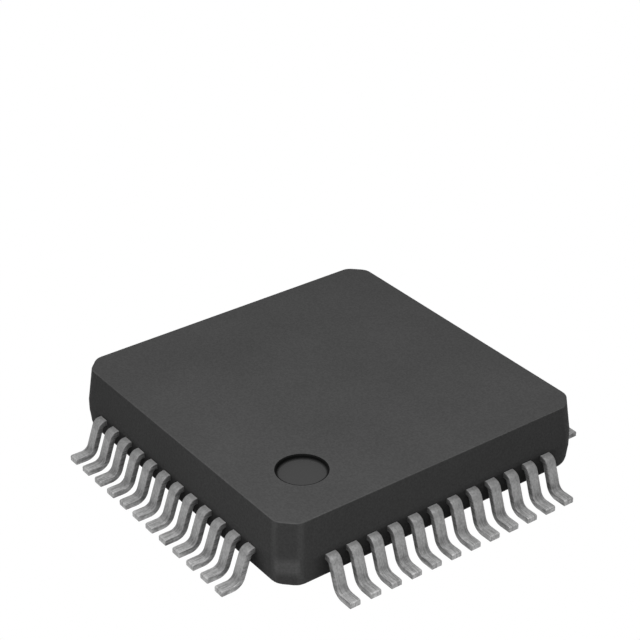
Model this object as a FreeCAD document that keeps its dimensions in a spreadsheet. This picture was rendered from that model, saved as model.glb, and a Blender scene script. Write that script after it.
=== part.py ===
"""A 48-lead quad flat pack chip, in millimetres.

+Z is up, and the origin is at the middle of the footprint, on the plane that
the feet of the leads stand on. Lead 1 is at the corner (-X, +Y) beside the
dimple, and the numbers run anticlockwise as seen from above.
"""

import FreeCAD, Part
import math
import os

import Sketcher
from FreeCAD import Placement, Rotation, Vector

SIZES = {
    # Moulded body, its width taken over the upright band at the parting plane
    "body_width": 12.23,
    "parting_height": 1.30,
    "band_above": 0.17,
    "band_below": 0.22,
    "body_top_height": 2.69,
    "standoff": 0.21,
    "upper_draft": 8.2,
    "lower_draft": 6.4,
    "corner_cut": 0.635,
    "corner_radius": 0.65,
    "bottom_edge_radius": 0.49,
    "top_edge_radius": 0.05,
    # Round dimple that marks lead 1, placed from two edges of the top face
    "dimple_diameter": 1.62,
    "dimple_depth": 0.16,
    "dimple_floor_radius": 0.10,
    "dimple_edge_distance": 2.255,
    # Outer leads, bent from the parting plane down to the feet
    "leads_per_side": 12,
    "lead_pitch": 0.80,
    "lead_width": 0.40,
    "lead_thickness": 0.20,
    "lead_shoulder": 0.065,
    "lead_lean": 19.0,
    "lead_bend_radius": 0.10,
    "lead_heel_radius": 0.28,
    "lead_foot": 0.42,
    "lead_toe_radius": 0.06,
    # Inner fingers of the leads, which fan in towards the die pad
    "finger_root": 0.60,
    "finger_pitch": 0.50,
    "finger_width": 0.26,
    "finger_land": 0.45,
    "finger_gap": 0.40,
    # Die pad, set down below the leads and held by four tie bars
    "pad_width": 6.40,
    "pad_downset": 0.25,
    "tie_bar_width": 0.30,
    "tie_bar_level": 0.10,
    "tie_bar_slope": 0.45,
    "tie_bar_cover": 0.30,
    # Silicon die and the layer that holds it to the pad
    "die_width": 4.20,
    "die_thickness": 0.30,
    "attach_thickness": 0.03,
    "attach_margin": 0.15,
    # Bond wires, each with a flat disc where it meets the die and the finger
    "bond_pitch": 0.32,
    "bond_edge_distance": 0.15,
    "bond_land_distance": 0.18,
    "bond_disc_diameter": 0.12,
    "bond_disc_thickness": 0.06,
    "bond_wire_diameter": 0.05,
    "bond_loop_height": 0.28,
    "bond_loop_bevel": 0.08,
}

SIDE_COUNT = 4
SIDE_TURN = 90
FIRST_SIDE_TURN = 180
CORNER_COUNT = 8
CORNER_TURN = 45
POSITION_TOLERANCE = 1e-4

# Places worked out from the driving dimensions, as expressions for the sheet
HALF_WIDTH = "(sizes.body_width / 2)"
CUT_DISTANCE = "((sizes.body_width - sizes.corner_cut) / sqrt(2))"
BAND_TOP = "(sizes.parting_height + sizes.band_above)"
BAND_BOTTOM = "(sizes.parting_height - sizes.band_below)"
UPPER_HEIGHT = f"(sizes.body_top_height - {BAND_TOP})"
LOWER_HEIGHT = f"({BAND_BOTTOM} - sizes.standoff)"
UPPER_INSET = f"({UPPER_HEIGHT} * tan(sizes.upper_draft))"
LOWER_INSET = f"({LOWER_HEIGHT} * tan(sizes.lower_draft))"
DIMPLE_PLACE = f"({HALF_WIDTH} - {UPPER_INSET} - sizes.dimple_edge_distance)"
DIMPLE_FLOOR = "(sizes.body_top_height - sizes.dimple_depth)"
LEAD_BOTTOM = "(sizes.parting_height - sizes.lead_thickness)"
FINGER_ROOT = f"({HALF_WIDTH} - sizes.finger_root)"
FINGER_TIP = "(sizes.pad_width / 2 + sizes.finger_gap)"
FINGER_LAND = f"({FINGER_TIP} + sizes.finger_land)"
PAD_TOP = "(sizes.parting_height - sizes.pad_downset)"
PAD_BOTTOM = f"({PAD_TOP} - sizes.lead_thickness)"
ATTACH_WIDTH = "(sizes.die_width + 2 * sizes.attach_margin)"
DIE_BOTTOM = f"({PAD_TOP} + sizes.attach_thickness)"
DIE_TOP = f"({DIE_BOTTOM} + sizes.die_thickness)"
TIE_BAR_INNER = "(sizes.pad_width / sqrt(2) - sizes.tie_bar_width)"
TIE_BAR_FOOT = "(sizes.pad_width / sqrt(2) + sizes.tie_bar_level)"
TIE_BAR_HEAD = f"({TIE_BAR_FOOT} + sizes.tie_bar_slope)"
TIE_BAR_END = f"({CUT_DISTANCE} - sizes.tie_bar_cover)"

doc = FreeCAD.newDocument("quad_flat_pack_chip")


def make_sheet():
    """The driving dimensions, with one cell and one alias for each."""
    result = doc.addObject("Spreadsheet::Sheet", "sizes")
    for row, (alias, number) in enumerate(SIZES.items(), start=1):
        cell = f"A{row}"
        result.set(cell, str(number))
        result.setAlias(cell, alias)
    doc.recompute()
    return result


sheet = make_sheet()


def value(expression):
    """The number that an expression over the sheet gives."""
    result = sheet.evalExpression(expression)
    return float(getattr(result, "Value", result))


def size(alias):
    return value(f"sizes.{alias}")


def add_body(name):
    body = doc.addObject("PartDesign::Body", name)
    body.Label = name
    return body


def origin_feature(body, role):
    """One of the body's own origin planes or axes."""
    return next(item for item in body.Origin.OriginFeatures if item.Role == role)


def add_sketch(body, name, role, height=None):
    """A sketch on one of the body's origin planes, lifted by an expression."""
    sketch = body.newObject("Sketcher::SketchObject", name)
    sketch.AttachmentSupport = [(origin_feature(body, role), "")]
    sketch.MapMode = "FlatFace"
    if height:
        sketch.setExpression("AttachmentOffset.Base.z", height)
    return sketch


def join(sketch, kind, *places):
    sketch.addConstraint(Sketcher.Constraint(kind, *places))


def measure(sketch, expression, kind, *places):
    """A dimension of the sketch that follows an expression over the sheet."""
    number = value(expression)
    if kind == "Angle":
        number = math.radians(number)
        expression = f"{expression} * 1 deg"
    index = sketch.addConstraint(Sketcher.Constraint(kind, *places, number))
    sketch.setExpression(f"Constraints[{index}]", expression)


def draw_polygon(sketch, corners):
    """A closed outline through corners, each a pair of expressions for x and y."""
    count = len(corners)
    points = [Vector(value(x), value(y), 0) for x, y in corners]
    for index, point in enumerate(points):
        sketch.addGeometry(Part.LineSegment(point, points[(index + 1) % count]), False)
    for index, (x, y) in enumerate(corners):
        join(sketch, "Coincident", index, 2, (index + 1) % count, 1)
        measure(sketch, x, "DistanceX", -1, 1, index, 1)
        measure(sketch, y, "DistanceY", -1, 1, index, 1)


def draw_square(sketch, width):
    """A square about the sketch's origin."""
    half = f"({width} / 2)"
    less = f"(-{width} / 2)"
    draw_polygon(sketch, [(less, less), (half, less), (half, half), (less, half)])


def add_pad(body, name, sketch, length, side_type="One side"):
    pad = body.newObject("PartDesign::Pad", name)
    pad.Profile = sketch
    pad.SideType = side_type
    pad.setExpression("Length", length)
    return pad


def add_plate(name, width, bottom, thickness):
    """A square plate about the Z axis."""
    body = add_body(name)
    sketch = add_sketch(body, f"{name}_outline", "XY_Plane", bottom)
    draw_square(sketch, width)
    add_pad(body, f"{name}_pad", sketch, thickness)
    return body


def draw_rounded_octagon(sketch):
    """The body's outline at its widest: eight straight sides, joined by arcs."""
    turn = math.radians(CORNER_TURN)
    radius = size("corner_radius")
    run = radius * math.tan(turn / 2)
    distances = [HALF_WIDTH if side % 2 == 0 else CUT_DISTANCE for side in range(CORNER_COUNT)]
    numbers = [value(distance) for distance in distances]
    for side in range(CORNER_COUNT):
        angle = side * turn
        outward = Vector(math.cos(angle), math.sin(angle), 0)
        along = Vector(-math.sin(angle), math.cos(angle), 0)
        here = numbers[side]
        before = numbers[side - 1]
        after = numbers[(side + 1) % CORNER_COUNT]
        first = (here * math.cos(turn) - before) / math.sin(turn)
        last = (after - here * math.cos(turn)) / math.sin(turn)
        start = outward * here + along * (first + run)
        end = outward * here + along * (last - run)
        centre = end - outward * radius
        circle = Part.Circle(centre, Vector(0, 0, 1), radius)
        sketch.addGeometry(Part.LineSegment(start, end), False)
        sketch.addGeometry(Part.ArcOfCircle(circle, angle, angle + turn), False)
    for side in range(CORNER_COUNT):
        line = 2 * side
        arc = line + 1
        next_line = (line + 2) % (2 * CORNER_COUNT)
        join(sketch, "Tangent", line, 2, arc, 1)
        join(sketch, "Tangent", arc, 2, next_line, 1)
        measure(sketch, "sizes.corner_radius", "Radius", arc)
        measure(sketch, distances[side], "Distance", -1, 1, line)
        measure(sketch, str((90 + side * CORNER_TURN + 180) % 360 - 180), "Angle", line)


def edges_at(shape, height):
    """The names of a shape's edges that lie flat at a height."""
    names = []
    for number, edge in enumerate(shape.Edges, start=1):
        box = edge.BoundBox
        if max(abs(box.ZMin - height), abs(box.ZMax - height)) < POSITION_TOLERANCE:
            names.append(f"Edge{number}")
    return names


def add_edge_radius(body, name, base, height, radius):
    """Rounds every edge of a feature that lies at a height."""
    fillet = body.newObject("PartDesign::Fillet", name)
    fillet.Base = (base, edges_at(base.Shape, value(height)))
    fillet.setExpression("Radius", radius)
    doc.recompute()
    return fillet


def add_mould_half(body, name, bottom, height, draft):
    """A drafted half of the mould form, which stands on or hangs from the band."""
    outline = add_sketch(body, f"{name}_outline", "XY_Plane", bottom)
    draw_rounded_octagon(outline)
    half = add_pad(body, name, outline, height)
    half.setExpression("TaperAngle", f"-{draft}")
    return half


def make_mould_form():
    """The moulded body before its inner parts are let in."""
    body = add_body("mould_form")
    outline = add_sketch(body, "parting_outline", "XY_Plane", "sizes.parting_height")
    draw_rounded_octagon(outline)
    band = add_pad(body, "parting_band", outline, "sizes.band_above", "Two sides")
    band.setExpression("Length2", "sizes.band_below")
    add_mould_half(body, "upper_half", BAND_TOP, UPPER_HEIGHT, "sizes.upper_draft")
    lower = add_mould_half(body, "lower_half", BAND_BOTTOM, LOWER_HEIGHT, "sizes.lower_draft")
    lower.Reversed = True
    doc.recompute()

    widest_radius = f"(0.95 * (sizes.corner_radius - {LOWER_INSET}))"
    bottom_radius = f"min(sizes.bottom_edge_radius; {widest_radius})"
    bottom = add_edge_radius(body, "bottom_edge", lower, "sizes.standoff", bottom_radius)

    mark = add_sketch(body, "dimple_circle", "XY_Plane", "sizes.body_top_height")
    place = value(DIMPLE_PLACE)
    circle = Part.Circle(Vector(-place, place, 0), Vector(0, 0, 1), size("dimple_diameter") / 2)
    mark.addGeometry(circle, False)
    measure(mark, "sizes.dimple_diameter", "Diameter", 0)
    measure(mark, f"-{DIMPLE_PLACE}", "DistanceX", -1, 1, 0, 3)
    measure(mark, DIMPLE_PLACE, "DistanceY", -1, 1, 0, 3)
    dimple = body.newObject("PartDesign::Pocket", "dimple")
    dimple.Profile = mark
    dimple.setExpression("Length", "sizes.dimple_depth")
    doc.recompute()
    check_cut("dimple", bottom, dimple)
    top = add_edge_radius(body, "top_edge", dimple, "sizes.body_top_height", "sizes.top_edge_radius")
    wall = "(sizes.dimple_depth - sizes.top_edge_radius)"
    floor_radius = f"min(sizes.dimple_floor_radius; 0.95 * {wall})"
    add_edge_radius(body, "dimple_floor_edge", top, DIMPLE_FLOOR, floor_radius)
    return body


def check_cut(name, before, after):
    """Stops if a cut took nothing away."""
    if after.Shape.Volume > before.Shape.Volume - POSITION_TOLERANCE:
        raise RuntimeError(f"{name} removes no material")


def draw_lead_form(sketch):
    """The side outline of a lead: shoulder, bend, leaning leg, heel, foot and toe."""
    thickness = size("lead_thickness")
    bend = size("lead_bend_radius")
    heel = size("lead_heel_radius")
    toe = size("lead_toe_radius")
    lean = math.radians(size("lead_lean"))
    top = size("parting_height")
    root = value(FINGER_ROOT)
    outward = Vector(math.cos(lean), math.sin(lean), 0)
    upper = Vector(value(HALF_WIDTH) + size("lead_shoulder"), top - bend - thickness, 0)
    lower_height = heel + thickness
    reach = outward.dot(upper) + bend + thickness + heel
    lower = Vector((reach - lower_height * math.sin(lean)) / math.cos(lean), lower_height, 0)
    tip = lower.x + size("lead_foot")
    quarter = math.pi / 2
    axis = Vector(0, 0, 1)

    def line(start, end):
        sketch.addGeometry(Part.LineSegment(start, end), False)

    def arc(centre, radius, start, end):
        sketch.addGeometry(Part.ArcOfCircle(Part.Circle(centre, axis, radius), start, end), False)

    line(Vector(root, top, 0), Vector(upper.x, top, 0))
    arc(upper, bend + thickness, lean, quarter)
    line(upper + outward * (bend + thickness), lower - outward * heel)
    arc(lower, heel, math.pi + lean, 3 * quarter)
    line(Vector(lower.x, thickness, 0), Vector(tip - toe, thickness, 0))
    arc(Vector(tip - toe, thickness - toe, 0), toe, 0, quarter)
    line(Vector(tip, thickness - toe, 0), Vector(tip, 0, 0))
    line(Vector(tip, 0, 0), Vector(lower.x, 0, 0))
    arc(lower, heel + thickness, math.pi + lean, 3 * quarter)
    line(lower - outward * (heel + thickness), upper + outward * bend)
    arc(upper, bend, lean, quarter)
    line(Vector(upper.x, top - thickness, 0), Vector(root, top - thickness, 0))
    line(Vector(root, top - thickness, 0), Vector(root, top, 0))
    shoulder, outer_bend, leg, inner_heel, instep, toe_edge, end = range(7)
    sole, outer_heel, calf, inner_bend, underside, root_end = range(7, 13)

    join(sketch, "Tangent", shoulder, 2, outer_bend, 2)
    join(sketch, "Tangent", outer_bend, 1, leg, 1)
    join(sketch, "Tangent", leg, 2, inner_heel, 1)
    join(sketch, "Tangent", inner_heel, 2, instep, 1)
    join(sketch, "Tangent", instep, 2, toe_edge, 2)
    join(sketch, "Tangent", toe_edge, 1, end, 1)
    join(sketch, "Coincident", end, 2, sole, 1)
    join(sketch, "Tangent", sole, 2, outer_heel, 2)
    join(sketch, "Tangent", outer_heel, 1, calf, 1)
    join(sketch, "Tangent", calf, 2, inner_bend, 1)
    join(sketch, "Tangent", inner_bend, 2, underside, 1)
    join(sketch, "Coincident", underside, 2, root_end, 1)
    join(sketch, "Coincident", root_end, 2, shoulder, 1)
    join(sketch, "Coincident", outer_bend, 3, inner_bend, 3)
    join(sketch, "Coincident", inner_heel, 3, outer_heel, 3)
    for level in (shoulder, instep, sole, underside):
        join(sketch, "Horizontal", level)
    for upright in (end, root_end):
        join(sketch, "Vertical", upright)
    join(sketch, "PointOnObject", sole, 1, -1)
    measure(sketch, "sizes.lead_thickness", "DistanceY", sole, 2, instep, 1)
    measure(sketch, "sizes.lead_thickness", "DistanceY", root_end, 1, root_end, 2)
    measure(sketch, "sizes.lead_bend_radius", "Radius", inner_bend)
    measure(sketch, "sizes.lead_heel_radius", "Radius", inner_heel)
    measure(sketch, "sizes.lead_toe_radius", "Radius", toe_edge)
    measure(sketch, "sizes.parting_height", "DistanceY", -1, 1, shoulder, 1)
    measure(sketch, FINGER_ROOT, "DistanceX", -1, 1, shoulder, 1)
    measure(sketch, f"({HALF_WIDTH} + sizes.lead_shoulder)", "DistanceX", -1, 1, shoulder, 2)
    measure(sketch, "(sizes.lead_lean - 90)", "Angle", leg)
    measure(sketch, "sizes.lead_foot", "DistanceX", sole, 2, sole, 1)


def make_lead(name, steps):
    """One lead, drawn pointing along +X, some steps of pitch from the middle of its side."""
    body = add_body(name)
    form = add_sketch(body, f"{name}_form", "XZ_Plane")
    draw_lead_form(form)
    add_pad(body, f"{name}_outer", form, "sizes.lead_width", "Symmetric")

    plan = add_sketch(body, f"{name}_plan", "XY_Plane", LEAD_BOTTOM)
    shift = f"({steps} * (sizes.finger_pitch - sizes.lead_pitch))"
    root_side = "(sizes.lead_width / 2)"
    tip_side = "(sizes.finger_width / 2)"
    draw_polygon(plan, [
        (FINGER_ROOT, f"-{root_side}"),
        (FINGER_ROOT, root_side),
        (FINGER_LAND, f"{shift} + {tip_side}"),
        (FINGER_TIP, f"{shift} + {tip_side}"),
        (FINGER_TIP, f"{shift} - {tip_side}"),
        (FINGER_LAND, f"{shift} - {tip_side}"),
    ])
    add_pad(body, f"{name}_finger", plan, "sizes.lead_thickness")
    return body


def repeat_lead(name, pattern):
    """A lead of another side, which follows the lead that it is a copy of."""
    body = add_body(name)
    copy = doc.addObject("PartDesign::FeatureBase", f"{name}_copy")
    copy.BaseFeature = pattern
    body.Group = [copy]
    body.Tip = copy
    return body


def place_lead(body, side, steps):
    """Turns a lead to its side of the chip and moves it along that side."""
    turn = FIRST_SIDE_TURN + side * SIDE_TURN
    across = Rotation(Vector(0, 0, 1), turn).multVec(Vector(0, 1, 0))
    body.Placement = Placement(Vector(0, 0, 0), Rotation(Vector(0, 0, 1), turn))
    for axis, share in (("x", round(across.x)), ("y", round(across.y))):
        if share:
            body.setExpression(f"Placement.Base.{axis}", f"{share * steps} * sizes.lead_pitch")


def lead_steps(index):
    """How many steps of pitch a lead stands from the middle of its side."""
    return index - (round(size("leads_per_side")) - 1) / 2


def make_leads():
    """All the leads, numbered from the dimple's corner."""
    count = round(size("leads_per_side"))
    leads = []
    for side in range(SIDE_COUNT):
        for index in range(count):
            name = f"lead_{side * count + index + 1:02d}"
            if side == 0:
                body = make_lead(name, lead_steps(index))
            else:
                body = repeat_lead(name, leads[index])
            place_lead(body, side, lead_steps(index))
            leads.append(body)
    return leads


def make_die_pad():
    """The square pad under the die, with a tie bar from each corner."""
    body = add_plate("die_pad", "sizes.pad_width", PAD_BOTTOM, "sizes.lead_thickness")
    profile = add_sketch(body, "tie_bar_form", "XZ_Plane")
    profile.AttachmentOffset = Placement(Vector(0, 0, 0), Rotation(Vector(0, 1, 0), CORNER_TURN))
    draw_polygon(profile, [
        (TIE_BAR_INNER, PAD_BOTTOM),
        (TIE_BAR_FOOT, PAD_BOTTOM),
        (TIE_BAR_HEAD, LEAD_BOTTOM),
        (TIE_BAR_END, LEAD_BOTTOM),
        (TIE_BAR_END, "sizes.parting_height"),
        (TIE_BAR_HEAD, "sizes.parting_height"),
        (TIE_BAR_FOOT, PAD_TOP),
        (TIE_BAR_INNER, PAD_TOP),
    ])
    bar = add_pad(body, "tie_bar", profile, "sizes.tie_bar_width", "Symmetric")
    bars = body.newObject("PartDesign::PolarPattern", "tie_bars")
    bars.Originals = [bar]
    bars.Axis = (origin_feature(body, "Z_Axis"), [""])
    bars.Angle = SIDE_COUNT * SIDE_TURN
    bars.Occurrences = SIDE_COUNT
    body.Tip = bars
    return body


def prism(centre, radius, height):
    """A short upright octagonal prism, its corners on a circle."""
    turn = 2 * math.pi / CORNER_COUNT
    angles = [index * turn for index in range(CORNER_COUNT + 1)]
    corners = [centre + Vector(math.cos(angle), math.sin(angle), 0) * radius for angle in angles]
    return Part.Face(Part.makePolygon(corners)).extrude(Vector(0, 0, height))


def bond_wire(steps):
    """One wire from the die to a finger, for a side that points along +X.

    It rises from a flattened ball on the die, bends over in two turns, and
    slopes down to a flattened end on the finger. Its section is an octagon.
    """
    radius = size("bond_wire_diameter") / 2
    disc_radius = size("bond_disc_diameter") / 2
    disc = size("bond_disc_thickness")
    up = Vector(0, 0, 1)
    die_spot = Vector(
        size("die_width") / 2 - size("bond_edge_distance"),
        steps * size("bond_pitch"),
        value(DIE_TOP),
    )
    land_spot = Vector(
        value(FINGER_TIP) + size("bond_land_distance"),
        steps * size("finger_pitch"),
        size("parting_height"),
    )
    level = land_spot - die_spot
    level.z = 0
    level.normalize()
    start = die_spot + up * (disc / 2)
    crest = die_spot + up * size("bond_loop_height")
    touch = land_spot + up * (disc / 2)
    slope = (touch - crest).normalize()
    bevel = size("bond_loop_bevel")
    path = Part.makePolygon([start, crest - up * bevel, crest + slope * bevel, touch])
    across = up.cross(level)
    turn = 2 * math.pi / CORNER_COUNT
    angles = [(index + 0.5) * turn for index in range(CORNER_COUNT + 1)]
    ring = [start + (level * math.cos(angle) + across * math.sin(angle)) * radius for angle in angles]
    wire = path.makePipeShell([Part.makePolygon(ring)], True, False, 1)
    die_end = prism(die_spot, disc_radius, disc)
    land_end = prism(land_spot, disc_radius, disc)
    return wire.multiFuse([die_end, land_end]).removeSplitter()


def make_bond_wires():
    """The wires of each side, as one group for each side."""
    count = round(size("leads_per_side"))
    wires = Part.makeCompound([bond_wire(lead_steps(index)) for index in range(count)])
    groups = []
    for side in range(SIDE_COUNT):
        group = doc.addObject("Part::Feature", f"bond_wires_side_{side + 1}")
        group.Label = group.Name
        group.Shape = wires
        turn = FIRST_SIDE_TURN + side * SIDE_TURN
        group.Placement = Placement(Vector(0, 0, 0), Rotation(Vector(0, 0, 1), turn))
        groups.append(group)
    return groups


def make_moulded_body(inner_parts):
    """The moulded body, let in round everything that it holds."""
    held = doc.addObject("Part::Compound", "held_parts")
    held.Links = inner_parts
    body = doc.addObject("Part::Cut", "moulded_body")
    body.Label = "moulded_body"
    body.Base = make_mould_form()
    body.Tool = held
    return body


def check_document():
    """Stops if any object of the document failed."""
    for item in doc.Objects:
        if "Invalid" in item.State or "Error" in item.State:
            raise RuntimeError(f"{item.Label} failed: {item.State}")


def export(parts):
    """Writes each sub-part to its own file."""
    os.makedirs("parts", exist_ok=True)
    for part in parts:
        shape = part.Shape
        if shape.isNull() or not shape.isValid() or not shape.Solids:
            raise RuntimeError(f"{part.Label} has no sound solid")
        shape.exportStep(os.path.join("parts", f"{part.Label}.step"))
        print(part.Label, len(shape.Solids), round(shape.Volume, 4))


leads = make_leads()
die_pad = make_die_pad()
die_attach = add_plate("die_attach", ATTACH_WIDTH, PAD_TOP, "sizes.attach_thickness")
silicon_die = add_plate("silicon_die", "sizes.die_width", DIE_BOTTOM, "sizes.die_thickness")
bond_wires = make_bond_wires()
inner_parts = leads + [die_pad, die_attach, silicon_die] + bond_wires
doc.recompute()
moulded_body = make_moulded_body(inner_parts)
doc.recompute()
check_document()
export([moulded_body] + inner_parts)
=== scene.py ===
"""The looks of a 48-lead quad flat pack chip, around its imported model.

Objects are in metres. The constants are in millimetres, and so are the materials,
which take their places from each object's own coordinates. +Z is up. The round
dimple stands beside lead 1, at the corner (-X, +Y) that is nearest to the camera.
"""

import bpy
import math
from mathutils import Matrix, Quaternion, Vector

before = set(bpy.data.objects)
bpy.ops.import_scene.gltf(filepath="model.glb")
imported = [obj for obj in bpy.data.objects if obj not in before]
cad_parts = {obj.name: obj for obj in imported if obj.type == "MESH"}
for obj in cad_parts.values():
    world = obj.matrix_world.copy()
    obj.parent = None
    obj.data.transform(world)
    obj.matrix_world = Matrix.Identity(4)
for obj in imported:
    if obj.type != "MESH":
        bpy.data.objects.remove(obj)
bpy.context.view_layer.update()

MM = 0.001

# Camera: where it stands, the point that it looks at, and its turn about that line
CAMERA_PLACE = (-41.23, 30.78, 34.88)
CAMERA_TARGET = (7.157, -5.056, 0.0)
CAMERA_ROLL = -0.11
FOCAL_LENGTH = 101.59
SENSOR_WIDTH = 36.0
NEAREST_SEEN = 1.0
FARTHEST_SEEN = 10000.0

# Studio: a dome, brightest overhead and towards one side, a pale floor and one softbox
DOME_LOW = 0.0
DOME_HIGH = 0.82
DOME_SIDE = 0.15
DOME_SIDE_WAY = (0.95, 0.3, 0.0)
FLOOR_REACH = 1000.0
FLOOR_GREY = 0.88
FLOOR_ROUGHNESS = 0.9
SOFTBOX_PLACE = (-18.0, 18.0, 30.0)
SOFTBOX_WIDTH = 24.0
SOFTBOX_POWER = 0.0088

# Noise: the span that nearly all of its values lie in, and the one that most lie in.
# Each scale is in waves per millimetre, and each swing is a share of the shade.
NOISE_SPAN = (0.3, 0.7)
NOISE_CORE = (0.35, 0.65)

# Moulding compound: its greys, gloss and grain, and the clouds and specks in its tone
TOP_GREY = 0.063
# The sides' grey is painted shade: the same compound as the top, painted darker
SIDE_PAINTED_SHADE_GREY = 0.0305
COMPOUND_GLOSS = 0.15
COMPOUND_ROUGHNESS = (0.72, 0.84)
COMPOUND_GRAIN_SCALE = 16.0
COMPOUND_RELIEF = 0.006
CLOUD_SCALE = 0.35
CLOUD_SWING = 0.06
SPECK_SCALE = 14.0
SPECK_SWING = 0.10

# Levels on the body
BODY_TOP = 2.69
BODY_BOTTOM = 0.21
PARTING_HEIGHT = 1.30
TOP_FACE_START = 2.665
UNDERSIDE_END = 0.41

# A painted highlight along the upper edge of the sides
TOP_EDGE = (2.635, 2.6875)
TOP_EDGE_PAINTED_HIGHLIGHT = 1.12

# Painted shade on the sides behind and under the leads: the end of a row, and the levels between
# which they lie
ROW_END = (4.60, 5.10)
UNDER_LEADS_TOP = (1.25, 1.35)
UNDER_LEADS_BOTTOM = 0.31
UNDER_LEADS_PAINTED_SHADE = 0.55

# The cut corners, where |x| + |y| is largest, and the painted highlights in bands along their
# upright edges
CUT_CORNER_START = 11.2
CORNER_EDGE = 0.56
CORNER_BAND = (0.05, 0.20)
CORNER_FOOT = (0.21, 0.61)
CORNER_EDGE_PAINTED_HIGHLIGHT = 1.3

# Painted light from the floor, low on the corner beside the dimple: its level, and how far
# from its middle it starts to fade and ends, to each side and up and down
BOUNCE_LEVEL = 1.14
BOUNCE_WIDTH = (0.40, 0.60)
BOUNCE_HEIGHT = (0.15, 0.40)
BOUNCE_PAINTED_LIGHT = 1.85

# The dimple: its middle on both axes, its reach with the rim, and the distances from its
# middle between which the floor's grey turns into the painted shade of its wall
DIMPLE_PLACE = 3.685
DIMPLE_REACH = 0.864
# Painted shadow: how far the painted shade of the wall is shifted to one side
DIMPLE_SHADOW_SHIFT = 0.015
DIMPLE_WALL = (0.737, 0.81)
DIMPLE_FLOOR_SHADE = 0.86
DIMPLE_WALL_PAINTED_SHADE = 0.02

# Tin plate: its grey, roughness and relief, and the grain and mottle in it
TIN_GREY = 0.65
TIN_ROUGHNESS = (0.60, 0.75)
TIN_RELIEF = 0.004
TIN_GRAIN_SCALE = 30.0
MOTTLE_SCALE = 13.0
MOTTLE_SWING = -0.10

# Drawn streaks along a lead, fainter high up, and burr lines on its sheared sides
STREAK_SCALE = 30.0
STREAK_STRETCH = 0.07
STREAK_SPAN = (0.36, 0.56)
STREAK_DEPTH = 0.36
STREAK_FADE = (0.42, 0.84)
STREAK_SHARE_HIGH_UP = 0.25
STREAK_RELIEF_SHARE = 0.4
BURR_SCALE = 14.0
BURR_SPAN = (0.38, 0.56)
BURR_SHADES = (0.72, 1.12)

# Painted light and shade on each flat of a lead, on its face and on its sheared sides
SHOULDER_PAINTED_SHADE = 0.80
BEND_PAINTED_SHADE = 0.63
LEG_PAINTED_SHADE = 0.74
HEEL_PAINTED_SHADE = 0.60
INSTEP_PAINTED_SHADE = 0.92
TOE_PAINTED_LIGHT = 1.05
END_PAINTED_SHADE = 0.81
BEND_SIDE_PAINTED_SHADE = 0.28
LEG_SIDE_PAINTED_SHADE = 0.50
FOOT_SIDE_PAINTED_SHADE = 0.66

# Where one flat passes into the next, outwards from the middle of the chip
BODY_SIDE = 6.10
SHOULDER_TO_BEND = (6.14, 6.24)
BEND_SIDE_TO_LEG = (6.14, 6.40)
INSTEP_TO_TOE = (6.975, 7.355)
TOE_TO_END = (7.375, 7.39)

# Where one flat passes into the next, upwards from the floor
FOOT_TO_HEEL = (0.20, 0.23)
FOOT_SIDE_TO_LEG = (0.20, 0.42)
HEEL_TO_LEG = (0.32, 0.47)
LEG_TO_BEND = (0.98, 1.08)

# The leads: their pitch, the start of a sheared side from a lead's middle, and soft edges
LEAD_PITCH = 0.80
SHEARED_SIDE_START = 0.184
LEAD_EDGE_RADIUS = 0.02
LEAD_EDGE_STEPS = 3
SHARP_EDGE = math.radians(35)
FLAT_EDGE = math.radians(0.5)
SAME_POINT = 0.001
FLAT_WEIGHT = 100

# Their fingers inside the body: bare copper, and plated where the wires are bonded
FINGER_COPPER = ((0.70, 0.30, 0.18, 1.0), (0.80, 0.40, 0.26, 1.0))
FINGER_PLATED = 4.05
FINGER_PLATE_GREY = 0.85

# Die pad: rolled copper with stains
PAD_COPPER = ((0.70, 0.31, 0.19, 1.0), (0.82, 0.42, 0.28, 1.0))
PAD_STAIN = (0.50, 0.20, 0.12, 1.0)
PAD_LINE_SCALE = 12.0
PAD_STRETCH = 0.05
PAD_STAIN_SCALE = 0.8
PAD_STAIN_SPAN = (0.45, 0.75)
PAD_STAIN_SHARE = 0.5
PAD_ROUGHNESS = (0.28, 0.42)
PAD_RELIEF = 0.003

# Die attach: epoxy with silver flakes
ATTACH_GREYS = (0.30, 0.62)
ATTACH_METAL = 0.6
ATTACH_FLAKE_SCALE = 18.0
ATTACH_FLAKE_SPAN = (0.4, 0.6)
ATTACH_ROUGHNESS = (0.35, 0.6)
ATTACH_RELIEF = 0.01

# Silicon die: greys with a cool tint, and the blocks of its circuit
SILICON_GLOSS = 0.8
BLOCK_WIDTH = 0.42
BLOCK_HEIGHT = 0.30
BLOCK_GAP = 0.012
BLOCK_GREYS = ((0.06, 0.25), (0.11, 0.15))
BLOCK_GAP_GREY = 0.22
SILICON_TINT = (0.10, 0.07, 0.12, 1.0)
SILICON_TINT_SCALE = 1.2
SILICON_ROUGHNESS = (0.12, 0.22)

# Bond wires: drawn gold
GOLD = ((0.90, 0.62, 0.22, 1.0), (1.0, 0.76, 0.33, 1.0))
GOLD_MARK_SCALE = 25.0
GOLD_ROUGHNESS = (0.2, 0.34)
GOLD_RELIEF = 0.001


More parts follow.
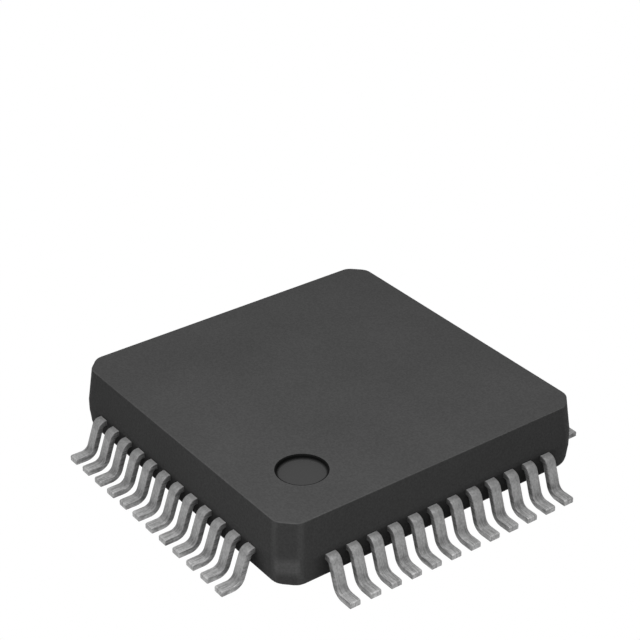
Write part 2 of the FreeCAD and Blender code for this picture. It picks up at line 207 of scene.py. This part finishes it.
class Shader:
    """A material with one Principled shader, and short calls that add nodes to it."""

    def __init__(self, name, **constants):
        self.material = bpy.data.materials.new(name)
        self.material.use_nodes = True
        self.tree = self.material.node_tree
        self.surface = self.tree.nodes["Principled BSDF"]
        for socket, number in constants.items():
            self.surface.inputs[socket.replace("_", " ")].default_value = number
        coordinates = self.tree.nodes.new("ShaderNodeTexCoord")
        inputs = {0: coordinates.outputs["Object"], "Scale": 1 / MM}
        self.place = self.add("ShaderNodeVectorMath", inputs, operation="SCALE").outputs[0]
        self.x, self.y, self.z = self.add("ShaderNodeSeparateXYZ", {0: self.place}).outputs

    def put(self, socket, source):
        """Joins an output to a socket, or sets the socket to a value."""
        if isinstance(source, bpy.types.NodeSocket):
            self.tree.links.new(source, socket)
        else:
            socket.default_value = source

    def add(self, kind, inputs, **settings):
        node = self.tree.nodes.new(kind)
        for name, setting in settings.items():
            setattr(node, name, setting)
        for socket, source in inputs.items():
            self.put(node.inputs[socket], source)
        return node

    def join(self, x, y, z):
        return self.add("ShaderNodeCombineXYZ", {0: x, 1: y, 2: z}).outputs[0]

    def math(self, operation, *sources):
        node = self.add("ShaderNodeMath", dict(enumerate(sources)), operation=operation)
        return node.outputs[0]

    def product(self, *sources):
        result = sources[0]
        for source in sources[1:]:
            result = self.math("MULTIPLY", result, source)
        return result

    def size(self, source):
        return self.math("ABSOLUTE", source)

    def off(self, source, level):
        """How far a value is from a level, either way."""
        return self.size(self.math("SUBTRACT", source, level))

    def above(self, source, level):
        """1 where a value is above a level, and 0 elsewhere."""
        return self.math("GREATER_THAN", source, level)

    def below(self, source, level):
        """1 where a value is below a level, and 0 elsewhere."""
        return self.math("LESS_THAN", source, level)

    def spread(self, source, low, high, first, last):
        """A value that goes from first to last while the source goes from low to high."""
        levels = {"Value": source, "From Min": low, "From Max": high}
        results = {"To Min": first, "To Max": last}
        return self.add("ShaderNodeMapRange", {**levels, **results}).outputs["Result"]

    def fade(self, source, full, gone):
        """1 as far as the value full, and 0 from the value gone on."""
        return self.spread(source, full, gone, 1.0, 0.0)

    def where(self, mask, factor):
        """A shade that is the factor where the mask is 1, and 1 where it is 0."""
        return self.spread(mask, 0.0, 1.0, 1.0, factor)

    def vary(self, noise, span, swing):
        """A shade about 1 that swings as a noise does."""
        return self.spread(noise, *span, 1 - swing, 1 + swing)

    def noise(self, place, scale, detail=2.0, roughness=0.5):
        inputs = {"Vector": place, "Scale": scale, "Detail": detail, "Roughness": roughness}
        return self.add("ShaderNodeTexNoise", inputs).outputs["Fac"]

    def level_distance(self, x, y):
        """The distance from an upright line at x and y."""
        across = self.math("SUBTRACT", self.x, x)
        along = self.math("SUBTRACT", self.y, y)
        level = self.join(across, along, 0.0)
        return self.add("ShaderNodeVectorMath", {0: level}, operation="LENGTH").outputs["Value"]

    def blend(self, share, first, second, kind="MIX"):
        """The first colour, with a share of the second."""
        node = self.add("ShaderNodeMix", {}, data_type="RGBA", blend_type=kind)
        self.put(node.inputs["Factor"], share)
        self.put(node.inputs["A"], first)
        self.put(node.inputs["B"], second)
        return node.outputs["Result"]

    def choose(self, mask, first, second):
        """The first number where the mask is 0, and the second where it is 1."""
        node = self.add("ShaderNodeMix", {"Factor": mask, "A": first, "B": second})
        return node.outputs["Result"]

    def shade(self, colour, *factors):
        """A colour times grey factors."""
        factor = self.product(*factors)
        return self.blend(1.0, colour, self.join(factor, factor, factor), kind="MULTIPLY")

    def bump(self, height, depth):
        """Raises the surface by a height of 0 to 1 times a depth in millimetres."""
        inputs = {"Height": height, "Distance": depth * MM, "Strength": 1.0}
        return self.add("ShaderNodeBump", inputs).outputs["Normal"]

    def finish(self, colour, roughness, normal=None):
        self.put(self.surface.inputs["Base Color"], colour)
        self.put(self.surface.inputs["Roughness"], roughness)
        if normal:
            self.put(self.surface.inputs["Normal"], normal)
        return self.material


def grey(level, tint=0.0):
    """A grey, a little cooler where the tint is above 0."""
    return (level * (1 - tint), level, level * (1 + tint), 1.0)


def top_edge_painted_highlight(shader):
    """A painted highlight along the upper edge of the body's sides."""
    bottom, top = TOP_EDGE
    edge = shader.product(shader.above(shader.z, bottom), shader.below(shader.z, top))
    return shader.where(edge, TOP_EDGE_PAINTED_HIGHLIGHT)


def under_leads_painted_shade(shader):
    """Painted shade on the sides of the body behind and under the leads, where little light
    comes.
    """
    near_axis = shader.math("MINIMUM", shader.size(shader.x), shader.size(shader.y))
    along_row = shader.fade(near_axis, *ROW_END)
    low_down = shader.fade(shader.z, *UNDER_LEADS_TOP)
    on_side = shader.above(shader.z, UNDER_LEADS_BOTTOM)
    return shader.where(shader.product(along_row, low_down, on_side), UNDER_LEADS_PAINTED_SHADE)


def corner_painted_light(shader):
    """Painted highlights in bands along the edges of the cut corners, and painted floor light low
    on the one in front.
    """
    beside_dimple = shader.size(shader.math("ADD", shader.x, shader.y))
    off_diagonal = shader.math("MINIMUM", beside_dimple, shader.off(shader.x, shader.y))
    far_out = shader.math("ADD", shader.size(shader.x), shader.size(shader.y))
    on_corner = shader.above(far_out, CUT_CORNER_START)
    edge_highlight = shader.fade(shader.off(off_diagonal, CORNER_EDGE), *CORNER_BAND)
    above_foot = shader.spread(shader.z, *CORNER_FOOT, 0.0, 1.0)
    below_top = shader.below(shader.z, TOP_FACE_START)
    edge_highlight = shader.product(edge_highlight, on_corner, above_foot, below_top)
    # Painted light from the floor, low on the corner beside the dimple
    near_dimple = shader.above(shader.math("SUBTRACT", shader.y, shader.x), 0.0)
    bounce_width = shader.fade(beside_dimple, *BOUNCE_WIDTH)
    bounce_height = shader.fade(shader.off(shader.z, BOUNCE_LEVEL), *BOUNCE_HEIGHT)
    painted_bounce = shader.product(bounce_width, bounce_height, on_corner, near_dimple)
    return shader.product(shader.where(edge_highlight, CORNER_EDGE_PAINTED_HIGHLIGHT), shader.where(painted_bounce, BOUNCE_PAINTED_LIGHT))


def with_dimple_painted_shade(shader, colour):
    """A colour with the dimple in it: its floor a little darker than the top, and its wall and
    rim dark with painted shade, shifted to one side as a painted shadow.
    """
    on_top = shader.above(shader.z, 0.5 * (BODY_TOP + PARTING_HEIGHT))
    near = shader.below(shader.level_distance(-DIMPLE_PLACE, DIMPLE_PLACE), DIMPLE_REACH)
    off_middle = shader.level_distance(-DIMPLE_PLACE - DIMPLE_SHADOW_SHIFT, DIMPLE_PLACE)
    greys = (DIMPLE_FLOOR_SHADE * TOP_GREY, DIMPLE_WALL_PAINTED_SHADE * TOP_GREY)
    hollow_painted_shade = shader.spread(off_middle, *DIMPLE_WALL, *greys)
    return shader.blend(shader.product(on_top, near), colour, shader.join(hollow_painted_shade, hollow_painted_shade, hollow_painted_shade))


def moulding_compound():
    """Dark epoxy with the fine matt grain of a spark-eroded mould."""
    shader = Shader("mould_compound", Specular_IOR_Level=COMPOUND_GLOSS)
    clouds = shader.noise(shader.place, CLOUD_SCALE, detail=3.0)
    grain = shader.noise(shader.place, COMPOUND_GRAIN_SCALE, detail=3.0, roughness=0.6)
    specks = shader.noise(shader.place, SPECK_SCALE)
    top_face = shader.above(shader.z, TOP_FACE_START)
    underside = shader.fade(shader.z, BODY_BOTTOM, UNDERSIDE_END)
    flat_face = shader.math("MAXIMUM", top_face, underside)
    # Painted shade: the sides take a darker grey than the top and the underside
    colour = shader.blend(flat_face, grey(SIDE_PAINTED_SHADE_GREY), grey(TOP_GREY))
    cloud_shade = shader.vary(clouds, NOISE_SPAN, CLOUD_SWING)
    speck_shade = shader.vary(specks, NOISE_CORE, SPECK_SWING)
    # Clouds and specks in the tone, and a painted highlight on the upper edge of the sides
    colour = shader.shade(colour, cloud_shade, speck_shade, top_edge_painted_highlight(shader))
    # Painted shade behind and under the leads, and painted highlights and floor light on the cut
    # corners
    colour = shader.shade(colour, under_leads_painted_shade(shader), corner_painted_light(shader))
    colour = with_dimple_painted_shade(shader, colour)
    roughness = shader.spread(grain, *NOISE_SPAN, *COMPOUND_ROUGHNESS)
    return shader.finish(colour, roughness, shader.bump(grain, COMPOUND_RELIEF))


def lead_coordinates(shader):
    """The distances outwards from the middle of the chip, and across its rows of leads."""
    wide = shader.size(shader.x)
    deep = shader.size(shader.y)
    on_x_side = shader.above(wide, deep)
    on_y_side = shader.math("SUBTRACT", 1.0, on_x_side)
    across_x_side = shader.product(on_x_side, shader.y)
    across_y_side = shader.product(on_y_side, shader.x)
    out = shader.math("MAXIMUM", wide, deep)
    return out, shader.math("ADD", across_x_side, across_y_side)


def lead_face_painted_light(shader, out):
    """Painted light and shade on each flat of a lead, from its end up to its shoulder."""
    flats = (
        (out, *INSTEP_TO_TOE, INSTEP_PAINTED_SHADE, TOE_PAINTED_LIGHT),
        (shader.z, *FOOT_TO_HEEL, 1.0, HEEL_PAINTED_SHADE / INSTEP_PAINTED_SHADE),
        (shader.z, *HEEL_TO_LEG, 1.0, LEG_PAINTED_SHADE / HEEL_PAINTED_SHADE),
        (shader.z, *LEG_TO_BEND, 1.0, BEND_PAINTED_SHADE / LEG_PAINTED_SHADE),
        (out, *SHOULDER_TO_BEND, SHOULDER_PAINTED_SHADE / BEND_PAINTED_SHADE, 1.0),
        (out, *TOE_TO_END, 1.0, END_PAINTED_SHADE / TOE_PAINTED_LIGHT),
    )
    return shader.product(*[shader.spread(*flat) for flat in flats])


def lead_side_painted_shade(shader, out, across):
    """Painted shade on a lead's sheared sides, darkest near the body, with burr lines in it."""
    drawn_out = shader.product(out, STREAK_STRETCH)
    burrs = shader.noise(shader.join(across, drawn_out, shader.z), BURR_SCALE)
    leg = shader.spread(shader.z, *FOOT_SIDE_TO_LEG, FOOT_SIDE_PAINTED_SHADE, LEG_SIDE_PAINTED_SHADE)
    bend = shader.spread(out, *BEND_SIDE_TO_LEG, BEND_SIDE_PAINTED_SHADE / LEG_SIDE_PAINTED_SHADE, 1.0)
    return shader.product(leg, bend, shader.spread(burrs, *BURR_SPAN, *BURR_SHADES))


def lead_metal():
    """Matt tin plate on the leads, and bare copper on their fingers inside the body."""
    shader = Shader("lead_plating", Metallic=1.0)
    out, across = lead_coordinates(shader)
    drawn_out = shader.product(out, STREAK_STRETCH)
    drawn_down = shader.product(shader.z, STREAK_STRETCH)
    streaks = shader.noise(shader.join(across, drawn_out, drawn_down), STREAK_SCALE)
    mottle = shader.noise(shader.place, MOTTLE_SCALE, detail=3.0)
    grain = shader.noise(shader.place, TIN_GRAIN_SCALE)
    streak_share = shader.spread(shader.z, *STREAK_FADE, 1.0, STREAK_SHARE_HIGH_UP)
    streak_depth = shader.spread(streaks, *STREAK_SPAN, STREAK_DEPTH, 0.0)
    streak_shade = shader.math("SUBTRACT", 1.0, shader.product(streak_share, streak_depth))
    mottle_shade = shader.vary(mottle, NOISE_CORE, MOTTLE_SWING)
    tin = shader.shade(grey(TIN_GREY), streak_shade, mottle_shade)

    from_end = shader.math("ADD", across, 0.5 * LEAD_PITCH)
    from_middle = shader.math("PINGPONG", from_end, 0.5 * LEAD_PITCH)
    sheared = shader.above(from_middle, SHEARED_SIDE_START)
    # Painted light and shade on each flat of a lead, and darker painted shade on its sheared
    # sides
    face_painted_light = lead_face_painted_light(shader, out)
    side_painted_shade = lead_side_painted_shade(shader, out, across)
    tin = shader.shade(tin, shader.choose(sheared, face_painted_light, side_painted_shade))

    copper = shader.blend(mottle, *FINGER_COPPER)
    plated = shader.below(out, FINGER_PLATED)
    finger = shader.blend(plated, copper, grey(FINGER_PLATE_GREY))
    colour = shader.blend(shader.above(out, BODY_SIDE), finger, tin)
    roughness = shader.spread(mottle, *NOISE_SPAN, *TIN_ROUGHNESS)
    streak_relief = shader.product(streaks, STREAK_RELIEF_SHARE)
    relief = shader.math("ADD", streak_relief, shader.product(grain, 1 - STREAK_RELIEF_SHARE))
    return shader.finish(colour, roughness, shader.bump(relief, TIN_RELIEF))


def bare_copper():
    """Rolled copper alloy of the die pad, with faint rolling lines."""
    shader = Shader("lead_frame", Metallic=1.0)
    rolled = shader.join(shader.product(shader.x, PAD_STRETCH), shader.y, shader.z)
    lines = shader.noise(rolled, PAD_LINE_SCALE, detail=3.0)
    stains = shader.noise(shader.place, PAD_STAIN_SCALE, detail=3.0)
    stain_share = shader.spread(stains, *PAD_STAIN_SPAN, 0.0, PAD_STAIN_SHARE)
    colour = shader.blend(stain_share, shader.blend(lines, *PAD_COPPER), PAD_STAIN)
    roughness = shader.spread(lines, *NOISE_SPAN, *PAD_ROUGHNESS)
    return shader.finish(colour, roughness, shader.bump(lines, PAD_RELIEF))


def silver_epoxy():
    """Grey epoxy full of silver flakes."""
    shader = Shader("die_attach", Metallic=ATTACH_METAL)
    flakes = shader.noise(shader.place, ATTACH_FLAKE_SCALE)
    share = shader.spread(flakes, *ATTACH_FLAKE_SPAN, 0.0, 1.0)
    colour = shader.blend(share, *[grey(level) for level in ATTACH_GREYS])
    roughness = shader.spread(flakes, *NOISE_SPAN, *ATTACH_ROUGHNESS)
    return shader.finish(colour, roughness, shader.bump(flakes, ATTACH_RELIEF))


def polished_silicon():
    """Dark polished silicon, with a faint grid of circuit blocks."""
    shader = Shader("silicon", Specular_IOR_Level=SILICON_GLOSS)
    block, other_block = [grey(*levels) for levels in BLOCK_GREYS]
    inputs = {
        "Vector": shader.join(shader.x, shader.y, 0.0),
        "Scale": 1.0,
        "Brick Width": BLOCK_WIDTH,
        "Row Height": BLOCK_HEIGHT,
        "Mortar Size": BLOCK_GAP,
        "Color1": block,
        "Color2": other_block,
        "Mortar": grey(BLOCK_GAP_GREY),
    }
    blocks = shader.add("ShaderNodeTexBrick", inputs)
    tint = shader.noise(shader.place, SILICON_TINT_SCALE)
    colour = shader.blend(tint, blocks.outputs["Color"], SILICON_TINT)
    return shader.finish(colour, shader.spread(tint, *NOISE_SPAN, *SILICON_ROUGHNESS))


def gold_wire():
    """Drawn gold wire."""
    shader = Shader("bond_wire", Metallic=1.0)
    marks = shader.noise(shader.place, GOLD_MARK_SCALE)
    roughness = shader.spread(marks, *NOISE_SPAN, *GOLD_ROUGHNESS)
    return shader.finish(shader.blend(marks, *GOLD), roughness, shader.bump(marks, GOLD_RELIEF))


def smooth_faces():
    """A node group that shades every face smooth."""
    group = bpy.data.node_groups.new("smooth_faces", "GeometryNodeTree")
    group.interface.new_socket("Geometry", in_out="INPUT", socket_type="NodeSocketGeometry")
    group.interface.new_socket("Geometry", in_out="OUTPUT", socket_type="NodeSocketGeometry")
    start = group.nodes.new("NodeGroupInput")
    smooth = group.nodes.new("GeometryNodeSetShadeSmooth")
    end = group.nodes.new("NodeGroupOutput")
    group.links.new(start.outputs[0], smooth.inputs[0])
    group.links.new(smooth.outputs[0], end.inputs[0])
    return group


def soften_edges(node, smooth):
    """Rounds the sharp edges of a lead with modifiers, and keeps its flats flat."""
    weld = node.modifiers.new("joined_faces", "WELD")
    weld.merge_threshold = SAME_POINT * MM
    flats = node.modifiers.new("whole_flats", "DECIMATE")
    flats.decimate_type = "DISSOLVE"
    flats.angle_limit = FLAT_EDGE
    edges = node.modifiers.new("rounded_edges", "BEVEL")
    edges.width = LEAD_EDGE_RADIUS * MM
    edges.segments = LEAD_EDGE_STEPS
    edges.limit_method = "ANGLE"
    edges.angle_limit = SHARP_EDGE
    shading = node.modifiers.new("smooth_faces", "NODES")
    shading.node_group = smooth
    normals = node.modifiers.new("flat_normals", "WEIGHTED_NORMAL")
    normals.weight = FLAT_WEIGHT
    normals.keep_sharp = False


def dress_nodes():
    """Gives each piece of the chip its material, and the leads their soft edges."""
    smooth = smooth_faces()
    finishes = {
        "moulded_body": moulding_compound(),
        "lead": lead_metal(),
        "die_pad": bare_copper(),
        "die_attach": silver_epoxy(),
        "silicon_die": polished_silicon(),
        "bond_wires": gold_wire(),
    }
    for name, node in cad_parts.items():
        kind = next(kind for kind in finishes if name.startswith(kind))
        node.data.materials.clear()
        node.data.materials.append(finishes[kind])
        if kind == "lead":
            soften_edges(node, smooth)


def place_in_scene(thing, place, target):
    """Puts a camera or a light into the scene, at a place and facing a target."""
    bpy.context.scene.collection.objects.link(thing)
    thing.location = Vector(place) * MM
    thing.rotation_mode = "QUATERNION"
    ahead = (Vector(target) - Vector(place)) * MM
    thing.rotation_quaternion = ahead.to_track_quat("-Z", "Y")


def place_camera():
    """The camera at the angle of the photograph."""
    data = bpy.data.cameras.new("camera")
    data.lens = FOCAL_LENGTH
    data.sensor_width = SENSOR_WIDTH
    data.clip_start = NEAREST_SEEN * MM
    data.clip_end = FARTHEST_SEEN * MM
    camera = bpy.data.objects.new("camera", data)
    place_in_scene(camera, CAMERA_PLACE, CAMERA_TARGET)
    roll = Quaternion((0, 0, 1), math.radians(CAMERA_ROLL))
    camera.rotation_quaternion = camera.rotation_quaternion @ roll
    bpy.context.scene.camera = camera


def mix_for_camera(tree, plain, shown):
    """A shader that turns into another one where the camera sees it straight."""
    ray = tree.nodes.new("ShaderNodeLightPath")
    both = tree.nodes.new("ShaderNodeMixShader")
    tree.links.new(ray.outputs["Is Camera Ray"], both.inputs[0])
    tree.links.new(plain, both.inputs[1])
    tree.links.new(shown, both.inputs[2])
    return both.outputs[0]


def lay_floor():
    """A pale floor under the feet of the leads, which the camera sees as white."""
    reach = FLOOR_REACH * MM
    mesh = bpy.data.meshes.new("floor")
    corners = [(-reach, -reach, 0), (reach, -reach, 0), (reach, reach, 0), (-reach, reach, 0)]
    mesh.from_pydata(corners, [], [(0, 1, 2, 3)])
    floor = bpy.data.objects.new("floor", mesh)
    bpy.context.scene.collection.objects.link(floor)
    material = bpy.data.materials.new("floor")
    material.use_nodes = True
    tree = material.node_tree
    surface = tree.nodes["Principled BSDF"]
    surface.inputs["Base Color"].default_value = grey(FLOOR_GREY)
    surface.inputs["Roughness"].default_value = FLOOR_ROUGHNESS
    surface.inputs["Specular IOR Level"].default_value = 0.0
    white = tree.nodes.new("ShaderNodeEmission")
    white.inputs["Color"].default_value = grey(1.0)
    shown = mix_for_camera(tree, surface.outputs[0], white.outputs[0])
    tree.links.new(shown, tree.nodes["Material Output"].inputs["Surface"])
    mesh.materials.append(material)


def light_dome():
    """A room that is brightest overhead and towards one side, with a white backdrop."""
    world = bpy.data.worlds.new("room")
    world.use_nodes = True
    bpy.context.scene.world = world
    tree = world.node_tree
    room = tree.nodes["Background"]
    room.inputs["Color"].default_value = grey(1.0)
    direction = tree.nodes.new("ShaderNodeTexCoord")
    parts = tree.nodes.new("ShaderNodeSeparateXYZ")
    height = tree.nodes.new("ShaderNodeMapRange")
    height.inputs["To Min"].default_value = DOME_LOW
    height.inputs["To Max"].default_value = DOME_HIGH
    side = tree.nodes.new("ShaderNodeVectorMath")
    side.operation = "DOT_PRODUCT"
    side.inputs[1].default_value = DOME_SIDE_WAY
    side_share = tree.nodes.new("ShaderNodeMapRange")
    side_share.inputs["To Max"].default_value = DOME_SIDE
    strength = tree.nodes.new("ShaderNodeMath")
    backdrop = tree.nodes.new("ShaderNodeBackground")
    backdrop.inputs["Color"].default_value = grey(1.0)
    links = (
        (direction.outputs["Generated"], parts.inputs[0]),
        (direction.outputs["Generated"], side.inputs[0]),
        (parts.outputs["Z"], height.inputs["Value"]),
        (side.outputs["Value"], side_share.inputs["Value"]),
        (height.outputs["Result"], strength.inputs[0]),
        (side_share.outputs["Result"], strength.inputs[1]),
        (strength.outputs[0], room.inputs["Strength"]),
    )
    for start, end in links:
        tree.links.new(start, end)
    shown = mix_for_camera(tree, room.outputs[0], backdrop.outputs[0])
    tree.links.new(shown, tree.nodes["World Output"].inputs["Surface"])


def hang_softbox():
    """A large square light high over the near corner of the chip, facing it."""
    data = bpy.data.lights.new("softbox", "AREA")
    data.shape = "SQUARE"
    data.size = SOFTBOX_WIDTH * MM
    data.energy = SOFTBOX_POWER
    place_in_scene(bpy.data.objects.new("softbox", data), SOFTBOX_PLACE, (0, 0, 0))


bpy.context.scene.view_settings.view_transform = "Standard"
place_camera()
lay_floor()
light_dome()
hang_softbox()
dress_nodes()
